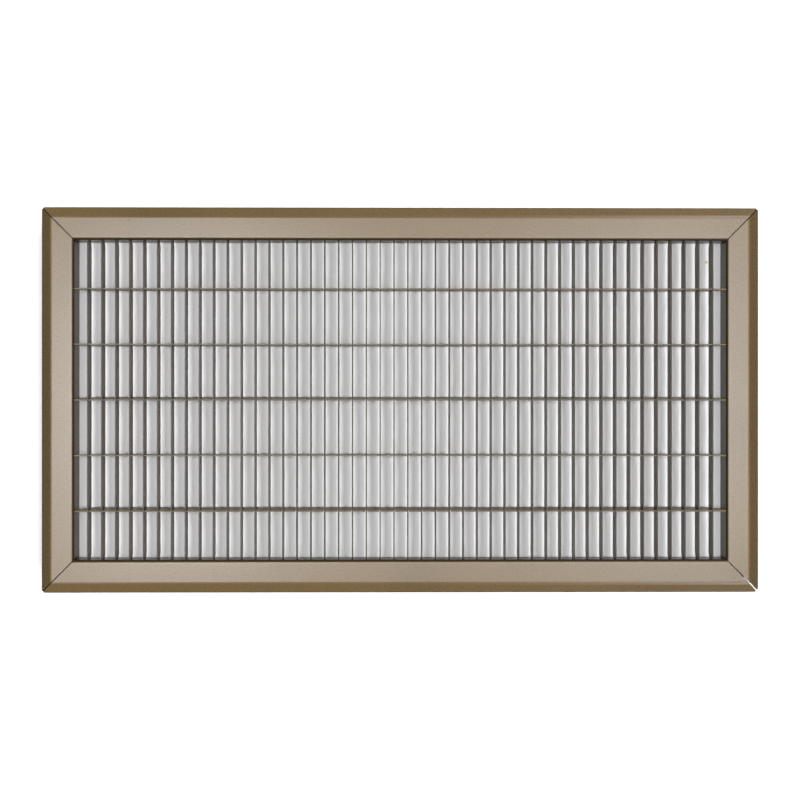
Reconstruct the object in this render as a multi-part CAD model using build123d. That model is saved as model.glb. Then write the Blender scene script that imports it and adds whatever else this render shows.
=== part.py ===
from build123d import *
import math
import os

# Floor return air grille for a 24 x 12 in duct opening. Four roll-formed steel rails are mitred
# into a drop-in box with a bevelled flange, and the box is filled with upright fins that lock
# into notched tie bars. Millimetres, +Z up, X along the length. The origin is under the centre,
# on the bottom edge of the box.

# Frame rails
overall_length = 657.0
overall_width = 352.8
flange_reach = 30.4  # inner face of the box to the outermost edge of the flange
box_depth = 25.4  # top face of the flange to the bottom edge of the box
sheet = 0.9
bend_inside = 2.1  # inside radius of the bend from the flange down into the box
crease_inside = 5.1  # inside radius of the soft crease where the bevel starts
bevel_run = 8.6  # bevel measured flat, inwards from the outermost edge
lip_height = 6.5  # top face to the underside of the hem
hem_return = 4.0  # flat part of the hem, folded tight under the bevel
mitre_gap = 0.5  # between two rails at the inner corner
closed_tip_gap = 0.05  # between two rails at the outer corner
sprung_tip_gap = 1.2  # the front right corner has sprung open
tip_cut = 2.0  # how far each rail's outer tips are cut back

# Fins, which stand across the box
fin_pitch = 12.7
fin_thickness = 1.1
fin_depth = 16.5
grid_recess = 0.4  # top edges of fins and tie bars below the top face
fin_top_cut = 1.8  # a fin's top edge stops this far from the rail, and slopes down to its nose
fin_bottom_cut = 5.0
fin_nose = 5.0  # height of the blunt nose that stands in the rail's slot
fin_slot_width = 2.0
slot_headroom = 4.5  # open height left above a nose in its slot
slot_below_bend = 0.4  # where slots start, below the end of the bend

# Tie bars, which run along the box and are half lapped with the fins
tie_pitch = 50.8
tie_thickness = 1.1
tie_tab_height = 3.5
tie_end_slope = 16.6  # length of the sloping underside at each end, up to the rail
tie_notch_mouth = 1.7
tie_notch_floor = 2.5
tie_lean_degrees = {1: -2.0, 2: -3.0, 3: 8.0, 4: 2.0, 5: 7.5}  # the rearmost bar is 1

# Joining plates under the flange, one across each mitre
gusset_sheet = 1.2
gusset_arm = 34.0
gusset_margin = 1.5  # kept clear of the bends on both sides
gusset_chamfer = 5.0

# Clearances
shoulder_clearance = 0.3  # shoulder of a tie bar to the face of its rail
slot_clearance = 0.2  # tab or nose to the ends of its slot, and tie bar to the sides of its slots
lap_clearance = 0.25  # depth that a half lap leaves free
cutter_margin = 1.0  # how far cutters reach past what they cut
plan_margin = 0.05  # how far a rail's plan stands off its section

# Worked out from the sizes above
inner_length = overall_length - 2 * flange_reach
inner_width = overall_width - 2 * flange_reach
fin_count = round(inner_length / fin_pitch) - 1
tie_count = round(inner_width / tie_pitch) - 1
grid_top = box_depth - grid_recess
bend_radius = bend_inside + sheet
crease_radius = crease_inside + sheet
slot_top = box_depth - bend_radius - slot_below_bend
nose_top = slot_top - slot_headroom
nose_bottom = nose_top - fin_nose
fin_bottom = grid_top - fin_depth
nose_slope = (nose_bottom - fin_bottom) / (fin_bottom_cut + sheet)
fin_slot_bottom = nose_bottom - sheet * nose_slope - slot_clearance
tie_tab_drop = grid_top - slot_top + slot_clearance
tie_tab_bottom = tie_tab_drop + tie_tab_height  # below the bar's top edge
tie_slope = (fin_depth - tie_tab_bottom) / (tie_end_slope + sheet)
tie_slot_height = tie_tab_height + sheet * tie_slope + 2 * slot_clearance
lap_depth = fin_depth / 2

# The bevel's slope, in radians, fits its run, the lip's height and the outside of the hem
bevel_level = bevel_run - sheet
bevel_rise = math.sqrt(bevel_level**2 + lip_height * (lip_height - 2 * sheet)) - bevel_level
bevel_slope = 2 * math.atan(bevel_rise / lip_height)


def rail_section():
    # X runs outwards from the inner face of the box, Y is the height
    crease = flange_reach - bevel_run
    corner = crease + lip_height / math.tan(bevel_slope)
    hem_end = corner - sheet / math.tan(bevel_slope / 2) - hem_return
    hem_height = box_depth - lip_height
    outside = FilletPolyline(
        (0, 0), (0, box_depth), (crease, box_depth), (corner, hem_height), (hem_end, hem_height),
        radius=[bend_radius, crease_radius, sheet],
    )
    return Face(outside.offset_2d(sheet, side=Side.LEFT, closed=True))


def rail_half(run, tip_gap, out):
    # Half the length of a rail at a distance out from the inside of the box, up to its mitre
    root = run / 2 - mitre_gap * math.sqrt(0.5)
    tip = run / 2 + flange_reach - tip_gap * math.sqrt(0.5)
    return root + (tip - root) * out / flange_reach


def rail(run, start_tip_gap, end_tip_gap):
    # A rail along X whose box side faces -Y; run is its length along the inside of the box
    near, far = -plan_margin, flange_reach + plan_margin
    plan = Polygon(
        (-rail_half(run, start_tip_gap, near), near), (rail_half(run, end_tip_gap, near), near),
        (rail_half(run, end_tip_gap, far), far), (-rail_half(run, start_tip_gap, far), far),
        align=None,
    )
    plan = chamfer(plan.vertices().group_by(Axis.Y)[-1], tip_cut)
    prism = Pos(0, 0, -plan_margin) * extrude(plan, amount=box_depth + 2 * plan_margin)
    return extrude(Plane.YZ * rail_section(), amount=run, both=True) & prism


def place_rail(shape, outwards, turn):
    return Rot(0, 0, turn) * Pos(0, outwards, 0) * shape


def fin_profile():
    # X is across the grille, Y is the height
    face = inner_width / 2
    half = [
        (face - fin_top_cut, grid_top),
        (face + sheet, nose_top),
        (face + sheet, nose_bottom),
        (face - fin_bottom_cut, fin_bottom),
    ]
    return Polygon(*half, *[(-x, y) for x, y in reversed(half)], align=None)


def tie_profile():
    # X is along the grille, Y is the height, from the bar's top edge down
    face = inner_length / 2
    shoulder = face - shoulder_clearance
    half = [
        (shoulder, 0),
        (shoulder, -tie_tab_drop),
        (face + sheet, -tie_tab_drop),
        (face + sheet, -tie_tab_bottom),
        (face - tie_end_slope, -fin_depth),
    ]
    blank = Polygon(*half, *[(-x, y) for x, y in reversed(half)], align=None)
    floor = -lap_depth - lap_clearance
    notch = Polygon(
        (-tie_notch_mouth / 2, 0), (-tie_notch_floor / 2, floor),
        (tie_notch_floor / 2, floor), (tie_notch_mouth / 2, 0),
        align=None,
    )
    return blank - GridLocations(fin_pitch, 0, fin_count, 1) * notch


def tie_place(number):
    # Middle of a bar's top edge, leaning with the bar
    lean = tie_lean_degrees.get(number, 0)
    return Pos(0, tie_pitch * ((tie_count + 1) / 2 - number), grid_top) * Rot(lean, 0, 0)


def upright(face, thickness):
    # A sheet piece that stands on its profile's XZ plane, centred on its thickness
    return extrude(Plane.XZ * face, amount=thickness / 2, both=True)


def gusset():
    # A plate notched for the box, whose corner points to +X and +Y from the box's inner corner
    inside = bend_radius + gusset_margin
    outside = flange_reach - bevel_run - crease_radius * math.tan(bevel_slope / 2) - gusset_margin
    tip = outside - gusset_arm
    plate = Polygon((outside, outside), (tip, outside), (inside, inside), (outside, tip), align=None)
    plate = chamfer(plate.vertices().sort_by_distance((outside, outside))[0], gusset_chamfer)
    return extrude(plate, amount=-gusset_sheet)


numbers = range(1, tie_count + 1)
fin_line = GridLocations(fin_pitch, 0, fin_count, 1)

# Fins and tie bars
tie_bars = {number: tie_place(number) * upright(tie_profile(), tie_thickness) for number in numbers}
lap = Box(
    fin_thickness + 2 * cutter_margin, tie_thickness + 2 * slot_clearance, fin_depth,
    align=(Align.CENTER, Align.CENTER, Align.MAX),
)
fin = Rot(0, 0, 90) * upright(fin_profile(), fin_thickness)
fin -= [tie_place(number) * Pos(0, 0, -lap_depth) * lap for number in numbers]

# Rails, with slots for the noses and tabs
fin_slot = Box(
    fin_slot_width, sheet + 2 * cutter_margin, slot_top - fin_slot_bottom,
    align=(Align.CENTER, Align.CENTER, Align.MAX),
)
tie_slot = Box(
    sheet + 2 * cutter_margin, tie_thickness + 2 * slot_clearance, tie_slot_height,
    align=(Align.CENTER, Align.CENTER, Align.MAX),
)
wall_x = (inner_length + sheet) / 2
wall_y = (inner_width + sheet) / 2
rear = rail(inner_length, closed_tip_gap, closed_tip_gap)
right = rail(inner_width, closed_tip_gap, sprung_tip_gap)
front = rail(inner_length, sprung_tip_gap, closed_tip_gap)
left = rail(inner_width, closed_tip_gap, closed_tip_gap)
rails = {
    "rail_rear": place_rail(rear, inner_width / 2, 0),
    "rail_right": place_rail(right, inner_length / 2, -90),
    "rail_front": place_rail(front, inner_width / 2, 180),
    "rail_left": place_rail(left, inner_length / 2, 90),
}
for name, side in (("rail_rear", 1), ("rail_front", -1)):
    rails[name] -= [place * Pos(0, side * wall_y, slot_top) * fin_slot for place in fin_line]
for name, side in (("rail_right", 1), ("rail_left", -1)):
    slot_at = Pos(side * wall_x, 0, slot_clearance - tie_tab_drop)
    rails[name] -= [tie_place(number) * slot_at * tie_slot for number in numbers]

# Joining plates, flat against the underside of the flange
gussets = {
    "corner_gusset_rear_right": (1, 1, 0),
    "corner_gusset_rear_left": (-1, 1, 90),
    "corner_gusset_front_left": (-1, -1, 180),
    "corner_gusset_front_right": (1, -1, -90),
}

nodes = dict(rails)
for name, (side_x, side_y, turn) in gussets.items():
    corner = Pos(side_x * inner_length / 2, side_y * inner_width / 2, box_depth - sheet)
    nodes[name] = corner * Rot(0, 0, turn) * gusset()
for number, bar in tie_bars.items():
    nodes[f"tie_bar_{number}"] = bar
for number, place in enumerate(fin_line, 1):
    nodes[f"fin_{number:02d}"] = place * fin

os.makedirs("parts", exist_ok=True)
for name, shape in nodes.items():
    export_step(shape, f"parts/{name}.step")
print(len(nodes), "pieces,", fin_count, "fins,", tie_count, "tie bars")
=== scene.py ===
import math

import bpy
import bmesh
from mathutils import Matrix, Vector


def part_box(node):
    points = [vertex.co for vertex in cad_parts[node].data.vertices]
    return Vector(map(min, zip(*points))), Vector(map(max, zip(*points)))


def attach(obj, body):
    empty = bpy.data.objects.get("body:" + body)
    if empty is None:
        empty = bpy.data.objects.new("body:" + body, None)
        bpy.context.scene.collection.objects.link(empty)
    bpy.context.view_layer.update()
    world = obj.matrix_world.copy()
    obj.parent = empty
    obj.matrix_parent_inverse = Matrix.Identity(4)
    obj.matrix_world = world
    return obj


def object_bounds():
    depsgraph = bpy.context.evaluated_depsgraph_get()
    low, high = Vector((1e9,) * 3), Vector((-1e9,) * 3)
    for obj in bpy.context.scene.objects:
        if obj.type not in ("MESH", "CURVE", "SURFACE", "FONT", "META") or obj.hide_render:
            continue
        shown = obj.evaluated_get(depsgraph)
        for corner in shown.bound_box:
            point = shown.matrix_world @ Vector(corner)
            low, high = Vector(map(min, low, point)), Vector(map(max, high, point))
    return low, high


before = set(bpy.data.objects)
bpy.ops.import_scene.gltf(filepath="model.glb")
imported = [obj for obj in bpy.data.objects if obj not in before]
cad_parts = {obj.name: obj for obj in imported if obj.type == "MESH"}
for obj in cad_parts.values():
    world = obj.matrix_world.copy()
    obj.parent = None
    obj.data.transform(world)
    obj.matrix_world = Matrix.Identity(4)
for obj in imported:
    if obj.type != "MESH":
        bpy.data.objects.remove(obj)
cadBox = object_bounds()
print("frame loaded:", len(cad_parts), "pieces of the grille")

# Places on the grille, which is centred on X and Y; Blender's unit is the metre
mm = 0.001
sheet = 0.9 * mm                            # of the rails; a fin's nose reaches through it
topZ = cadBox[1].z
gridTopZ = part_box("fin_01")[1].z            # top edges of the fins
mitreOffset = cadBox[1].x - cadBox[1].y     # |x| - |y| along every mitre
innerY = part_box("fin_01")[1].y - sheet      # inner faces of the box
innerX = innerY + mitreOffset


# Materials

enamel = {
    "tan": "#655235",                # the full coat
    "tanThin": "#5F4D32",            # where the coat is thin
    "thinRange": (0.35, 0.75),       # of the dust noise, from full to thin
    "tanGrimeAndShade": "#4B3D28",           # handling grime, and painted shade on the short rails' bevels
    "grime": 0.35,                   # how strong it gets
    "grimeRange": (0.35, 0.85),      # of the cloud noise, from clean to dirty
    "roughness": 0.28,
    "roughnessSpread": 0.015,
    "roughnessRange": (0.3, 0.7),    # of the dust noise, from smoothest to roughest
    "shine": 0.5,
    "ior": 1.5,
    "cloudSize": 90 * mm,            # slow drift of the colour
    "dustSize": 1.1 * mm,            # dust in the coat, drawn coarser than its grains are, so that it shows
    "peelSize": 1.6 * mm,            # orange peel of a sprayed coat
    "peelHeight": 0.0025 * mm,
}
markBlur = 0.3                       # soft edge of a small mark, as a share of its radius


def hexColour(code):
    # sRGB hex to the linear colour that a shader takes
    parts = [int(code[i:i + 2], 16) / 255 for i in (1, 3, 5)]
    linear = [c / 12.92 if c <= 0.04045 else ((c + 0.055) / 1.055) ** 2.4 for c in parts]
    return (*linear, 1.0)


def addNode(tree, kind, values):
    # Each value is a setting, or a constant, node or socket for the input of that name or number
    node = tree.nodes.new(kind)
    for name, value in values.items():
        if isinstance(value, bpy.types.Node):
            value = next(output for output in value.outputs if output.enabled)
        if isinstance(value, bpy.types.NodeSocket):
            tree.links.new(value, node.inputs[name])
        elif isinstance(name, int) or name in node.inputs:
            node.inputs[name].default_value = value
        else:
            setattr(node, name, value)
    return node


def newMaterial(name):
    material = bpy.data.materials.new(name)
    material.use_nodes = True
    material.node_tree.nodes.clear()
    return material, material.node_tree


def changeCoat(tree, coat, value, limits, colour, shine=None, strength=1.0):
    # The coat takes another colour, and another shine if given, as the value goes from one limit to the other
    mask = addNode(tree, "ShaderNodeMapRange", {
        "interpolation_type": "SMOOTHSTEP", "Value": value,
        "From Min": limits[0], "From Max": limits[1], "To Max": strength})
    coat["colour"] = addNode(tree, "ShaderNodeMix", {
        "data_type": "RGBA", "Factor": mask, "A": coat["colour"], "B": hexColour(colour)})
    if shine is not None:
        coat["shine"] = addNode(tree, "ShaderNodeMix", {
            "data_type": "FLOAT", "Factor": mask, "A": coat["shine"], "B": shine})


def addMark(tree, coat, place, centre, radius, colour, shine=None):
    # A small round mark with a soft edge
    away = addNode(tree, "ShaderNodeVectorMath", {"operation": "DISTANCE", 0: place, 1: centre})
    changeCoat(tree, coat, away, (radius * (1 + markBlur), radius * (1 - markBlur)), colour, shine)


def pastBoxWalls(tree, place):
    # How far X and Y are outside the inner faces of the box, less than 0 inside them
    apart = addNode(tree, "ShaderNodeSeparateXYZ", {"Vector": place}).outputs
    past = []
    for axis, inner in (("X", innerX), ("Y", innerY)):
        across = addNode(tree, "ShaderNodeMath", {"operation": "ABSOLUTE", 0: apart[axis]})
        past.append(addNode(tree, "ShaderNodeMath", {"operation": "SUBTRACT", 0: across, 1: inner}))
    return past


def addEnamel(tree, settings, place):
    # Baked enamel sprayed on mild steel: satin, its sheen broken up a little by orange peel and dust
    cloud = addNode(tree, "ShaderNodeTexNoise", {
        "Vector": place, "Scale": 1 / settings["cloudSize"], "Detail": 1.0, "Roughness": 0.4})
    dust = addNode(tree, "ShaderNodeTexNoise", {
        "Vector": place, "Scale": 1 / settings["dustSize"], "Detail": 1.0, "Roughness": 0.6})
    peel = addNode(tree, "ShaderNodeTexNoise", {
        "Vector": place, "Scale": 1 / settings["peelSize"], "Detail": 2.0, "Roughness": 0.5})
    low, high = settings["roughnessRange"]
    rough = addNode(tree, "ShaderNodeMapRange", {
        "Value": dust, "From Min": low, "From Max": high,
        "To Min": settings["roughness"] - settings["roughnessSpread"],
        "To Max": settings["roughness"] + settings["roughnessSpread"]})
    bump = addNode(tree, "ShaderNodeBump", {
        "Height": peel, "Strength": 1.0, "Distance": settings["peelHeight"]})
    coat = {
        "colour": hexColour(settings["tan"]),
        "shine": settings["shine"],
        "roughness": rough,
        "normal": bump,
    }
    changeCoat(tree, coat, dust, settings["thinRange"], settings["tanThin"])
    changeCoat(tree, coat, cloud, settings["grimeRange"], settings["tanGrimeAndShade"], strength=settings["grime"])
    return coat


def finishMaterial(tree, settings, coat):
    shader = addNode(tree, "ShaderNodeBsdfPrincipled", {
        "Base Color": coat["colour"], "Roughness": coat["roughness"], "Normal": coat["normal"],
        "Specular IOR Level": coat["shine"], "IOR": settings["ior"]})
    addNode(tree, "ShaderNodeOutputMaterial", {"Surface": shader})


def dress(material, start):
    # Puts a material on all CAD pieces whose names start so
    for name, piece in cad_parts.items():
        if name.startswith(start):
            piece.data.materials.clear()
            piece.data.materials.append(material)


# Rails

rail = {
    **enamel,
    "wallShade": "#34291A",         # box sides and inner bend, painted darker as painted shade
    "rim": "#3D3728",          # outermost fold, darker and with less shine
    "rimShine": 0.2,
    "bevelShade": 0.0,         # how much painted shade darkens the bevel; the short rails' get more
    # Where a coat starts and where it is full, outwards from the inner faces of the box
    "wallShadeRange": (2.6 * mm, 1.3 * mm),
    "bevelRange": (21.8 * mm, 22.3 * mm),
    "rimRange": (29.5 * mm, 30.0 * mm),
    "seamDirtAndShade": "#160F08",         # dirt and painted shade in the mitres
    "seamShine": 0.0,
    "seamHalf": 0.28 * mm,
    "seamFade": 2.2,           # where the dirt ends, times its half width
    "speck": "#3A3122",
    "specks": [((-248 * mm, 164 * mm, topZ), 0.6 * mm)],
    "dull": 0.08,              # shine of the box sides, lowered with their painted shade, and of specks
}


def railMaterial(name, settings):
    # Satin tan enamel on roll-formed steel: darker and duller at the rim, dark specks, dirt and painted shade
    # in the mitres, and painted shade on the box sides and on the short rails' bevels
    material, tree = newMaterial(name)
    place = addNode(tree, "ShaderNodeTexCoord", {}).outputs["Object"]
    coat = addEnamel(tree, settings, place)
    pastX, pastY = pastBoxWalls(tree, place)
    out = addNode(tree, "ShaderNodeMath", {"operation": "MAXIMUM", 0: pastX, 1: pastY})
    # Painted shade on the bevel, as strong as each rail's setting
    changeCoat(tree, coat, out, settings["bevelRange"], settings["tanGrimeAndShade"], strength=settings["bevelShade"])
    changeCoat(tree, coat, out, settings["rimRange"], settings["rim"], settings["rimShine"])
    # Painted shade on the box sides and the inner bend
    changeCoat(tree, coat, out, settings["wallShadeRange"], settings["wallShade"], settings["dull"])
    difference = addNode(tree, "ShaderNodeMath", {"operation": "SUBTRACT", 0: pastX, 1: pastY})
    offMitre = addNode(tree, "ShaderNodeMath", {"operation": "ABSOLUTE", 0: difference})
    reach = settings["seamHalf"] * math.sqrt(2)    # |x| - |y| changes by root two for each step across it
    # Dirt and painted shade along the mitre gaps
    changeCoat(
        tree, coat, offMitre, (reach * settings["seamFade"], reach), settings["seamDirtAndShade"], settings["seamShine"])
    for centre, radius in settings["specks"]:
        addMark(tree, coat, place, centre, radius, settings["speck"], settings["dull"])
    finishMaterial(tree, settings, coat)
    return material


longRailCoat = railMaterial("tanBakedEnamelOnLongRails", rail)
# The short rails' bevels get painted shade
shortRailCoat = railMaterial("tanBakedEnamelOnShortRails", {**rail, "bevelShade": 0.75})
dress(longRailCoat, ("rail_front", "rail_rear"))
dress(shortRailCoat, ("rail_left", "rail_right"))


# Fins

fin = {
    **enamel,
    "tan": "#483B29",          # the rails' enamel, painted darker and duller as painted shade between the fins
    "tanThin": "#413525",
    "tanGrimeAndShade": "#362D21",
    "roughness": 0.34,
    "shine": 0.06,
    "edge": "#2C271C",         # top edges: a darker coat with more shine, a painted sheen for how light falls on them
    "edgeShine": 0.22,
    "edgeRange": (0.3 * mm, 0.15 * mm),    # depth where the edge's coat starts, and where it is full
}


def finMaterial(name, settings):
    # Enamel on thin sheet, painted darker and duller than the rails' as painted shade, with its own coat on
    # the top edges, painted for how light falls on them
    material, tree = newMaterial(name)
    place = addNode(tree, "ShaderNodeTexCoord", {}).outputs["Object"]
    coat = addEnamel(tree, settings, place)
    height = addNode(tree, "ShaderNodeSeparateXYZ", {"Vector": place}).outputs["Z"]
    levels = [gridTopZ - depth for depth in settings["edgeRange"]]
    # The top edges get their own coat, painted for how light falls on them
    changeCoat(tree, coat, height, levels, settings["edge"], settings["edgeShine"])
    finishMaterial(tree, settings, coat)
    return material


dress(finMaterial("tanEnamelOnFinsPaintedShade", fin), "fin_")


# Tie bars

tieBar = {
    **fin,
    # Painted shade: the bars' coat is darker than the rails', as they stand between the fins
    "tan": "#5E513C",
    "tanThin": "#564A37",
    "shine": 0.10,
    "edge": "#665A44",         # painted highlight: lighter along the top
}
dress(finMaterial("tanEnamelOnTieBarsPaintedLight", tieBar), "tie_bar_")


# Joining plates

plate = {
    **rail,
    "tan": "#54452F",          # a thinner coat on the hidden side
    "roughness": 0.36,
    "specks": [],
}
dress(railMaterial("thinEnamelOnSteelPlate", plate), "corner_gusset_")
print("materials assigned")


# Dark enamel that fills the three closed mitres, partly standing in as painted shade in their gaps

bead = {
    "colour": "#1F170D",
    "roughness": 0.28,
    "shine": 0.05,
    "ior": 1.5,
    # Outwards from the box, and down from the top face
    "line": [(1.0 * mm, 0.6 * mm), (21.5 * mm, 0.6 * mm), (27.5 * mm, 4.1 * mm)],
    "width": 0.8 * mm,                         # across the mitre
    "thick": 0.2 * mm,
    "corners": [(-1, 1), (1, 1), (-1, -1)],    # signs of X and Y
}


def beadMaterial(name, settings):
    # Enamel and dirt that ran into a joint, nearly black and without shine, also painted shade deep in the
    # gap
    material, tree = newMaterial(name)
    shader = addNode(tree, "ShaderNodeBsdfPrincipled", {
        "Base Color": hexColour(settings["colour"]), "Roughness": settings["roughness"],
        "Specular IOR Level": settings["shine"], "IOR": settings["ior"]})
    addNode(tree, "ShaderNodeOutputMaterial", {"Surface": shader})
    return material


def sweep(bm, swept, way):
    # Moves what an extrusion has made, and returns its faces
    bmesh.ops.translate(bm, verts=[part for part in swept if isinstance(part, bmesh.types.BMVert)], vec=way)
    return [part for part in swept if isinstance(part, bmesh.types.BMFace)]


def addBead(bm, signX, signY, settings):
    # A thin closed strip that follows the flat and the bevel, under the surface: a line swept across and down
    across = Vector((signY, -signX, 0.0)).normalized() * settings["width"]
    line = []
    for out, drop in settings["line"]:
        middle = Vector((signX * (innerX + out), signY * (innerY + out), topZ - drop))
        line.append(bm.verts.new(middle - across / 2))
    edges = [bm.edges.new(pair) for pair in zip(line, line[1:])]
    strip = sweep(bm, bmesh.ops.extrude_edge_only(bm, edges=edges)["geom"], across)
    down = Vector((0.0, 0.0, -settings["thick"]))
    sweep(bm, bmesh.ops.extrude_face_region(bm, geom=strip)["geom"], down)


beadBm = bmesh.new()
for signX, signY in bead["corners"]:
    addBead(beadBm, signX, signY, bead)
bmesh.ops.recalc_face_normals(beadBm, faces=beadBm.faces)
beadMesh = bpy.data.meshes.new("mitre_bead_painted_shade")
beadBm.to_mesh(beadMesh)
beadBm.free()
beadMesh.materials.append(beadMaterial("darkEnamelAndPaintedShadeInMitres", bead))
beadPiece = bpy.data.objects.new("mitre_bead_painted_shade", beadMesh)
bpy.context.scene.collection.objects.link(beadPiece)
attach(beadPiece, "root")
print("mitres filled")


# Floor

paper = {
    "halfSize": 6.0,
    # Painted light: the floor outside the box is whiter, so the flange's shadow does not show
    "paintedLightWhite": "#FBFBFB",
    "under": "#F0F0F1",        # seen between the fins
    "fade": 8 * mm,            # from one to the other, hidden by the flange
    "crumb": "#C8BE8C",
    "crumbAt": (285.1 * mm, 128.5 * mm, 0.0),
    "crumbSize": 1.3 * mm,
}


def paperMaterial(name, settings):
    # Matt white sheet that the grille lies on, a little greyer under it and painted whiter outside the box as
    # painted light that hides the flange's shadow, with one yellowish crumb
    material, tree = newMaterial(name)
    place = addNode(tree, "ShaderNodeTexCoord", {}).outputs["Object"]
    coat = {"colour": hexColour(settings["under"])}
    pastX, pastY = pastBoxWalls(tree, place)
    out = addNode(tree, "ShaderNodeMath", {"operation": "MAXIMUM", 0: pastX, 1: pastY})
    # Painted light: whiter outside the box, where the flange's shadow would fall
    changeCoat(tree, coat, out, (0.0, settings["fade"]), settings["paintedLightWhite"])
    addMark(tree, coat, place, settings["crumbAt"], settings["crumbSize"], settings["crumb"])
    shader = addNode(tree, "ShaderNodeBsdfDiffuse", {"Color": coat["colour"]})
    addNode(tree, "ShaderNodeOutputMaterial", {"Surface": shader})
    return material


floorMesh = bpy.data.meshes.new("floor")
floorBm = bmesh.new()
bmesh.ops.create_grid(floorBm, x_segments=1, y_segments=1, size=paper["halfSize"])
floorBm.to_mesh(floorMesh)
floorBm.free()
floorMesh.materials.append(paperMaterial("mattWhitePaper", paper))
floor = bpy.data.objects.new("floor", floorMesh)
bpy.context.scene.collection.objects.link(floor)
print("floor laid")


# Light

lighting = {
    "height": 3.2,
    "apart": 0.02,                 # between two softboxes' heights
    "softboxes": {                 # angles from the vertical along X and Y in degrees, and radiance
        "keyLeft": (-15, -7, -8, 8, 27.65),
        "keyRight": (7, 19, -8, 8, 12.09),
        "aroundCamera": (-7, 7, -8, 8, 6.38),
        "stripLeft": (-19, -15, -35, 8, 5.45),
        "stripRight": (15, 19, -35, 35, 10.0),
        "sideLeft": (-34, -19, -35, 35, 2.57),
        "farRearRight": (19, 50, 35, 58, 7.93),
        "farFrontRight": (19, 50, -58, -35, 7.49),
    },
    "sky": "#EAF0FF",
    "skyStrength": 0.05,
}


def addSoftbox(name, height, angles, radiance):
    left, right, front, rear = [height * math.tan(math.radians(angle)) for angle in angles]
    data = bpy.data.lights.new(name, "AREA")
    data.shape = "RECTANGLE"
    data.size = right - left
    data.size_y = rear - front
    data.energy = math.pi * radiance * data.size * data.size_y
    lamp = bpy.data.objects.new(name, data)
    lamp.location = ((left + right) / 2, (front + rear) / 2, height)
    bpy.context.scene.collection.objects.link(lamp)


for number, (name, (*angles, radiance)) in enumerate(lighting["softboxes"].items()):
    addSoftbox(name, lighting["height"] + number * lighting["apart"], angles, radiance)
world = bpy.data.worlds.new("studio")
bpy.context.scene.world = world
world.use_nodes = True
sky = world.node_tree.nodes["Background"]
sky.inputs["Color"].default_value = hexColour(lighting["sky"])
sky.inputs["Strength"].default_value = lighting["skyStrength"]
print("lights set")


# Camera

viewpoint = {
    "offset": Vector((-0.0170, -0.0010, 1.3995)),    # from the middle of the top face
    "turn": (0.0007, -0.0115, 0.0002),               # radians
    "focalPixels": 1531.8,
    "imagePixels": 800,
    "sensor": 36.0,
}
cameraData = bpy.data.cameras.new("camera")
cameraData.sensor_width = viewpoint["sensor"]
cameraData.lens = viewpoint["focalPixels"] * viewpoint["sensor"] / viewpoint["imagePixels"]
camera = bpy.data.objects.new("camera", cameraData)
camera.location = viewpoint["offset"] + Vector((0.0, 0.0, topZ))
camera.rotation_euler = viewpoint["turn"]
bpy.context.scene.collection.objects.link(camera)
bpy.context.scene.camera = camera
bpy.context.scene.view_settings.view_transform = "Standard"
bpy.context.scene.view_settings.look = "None"
print("camera placed")
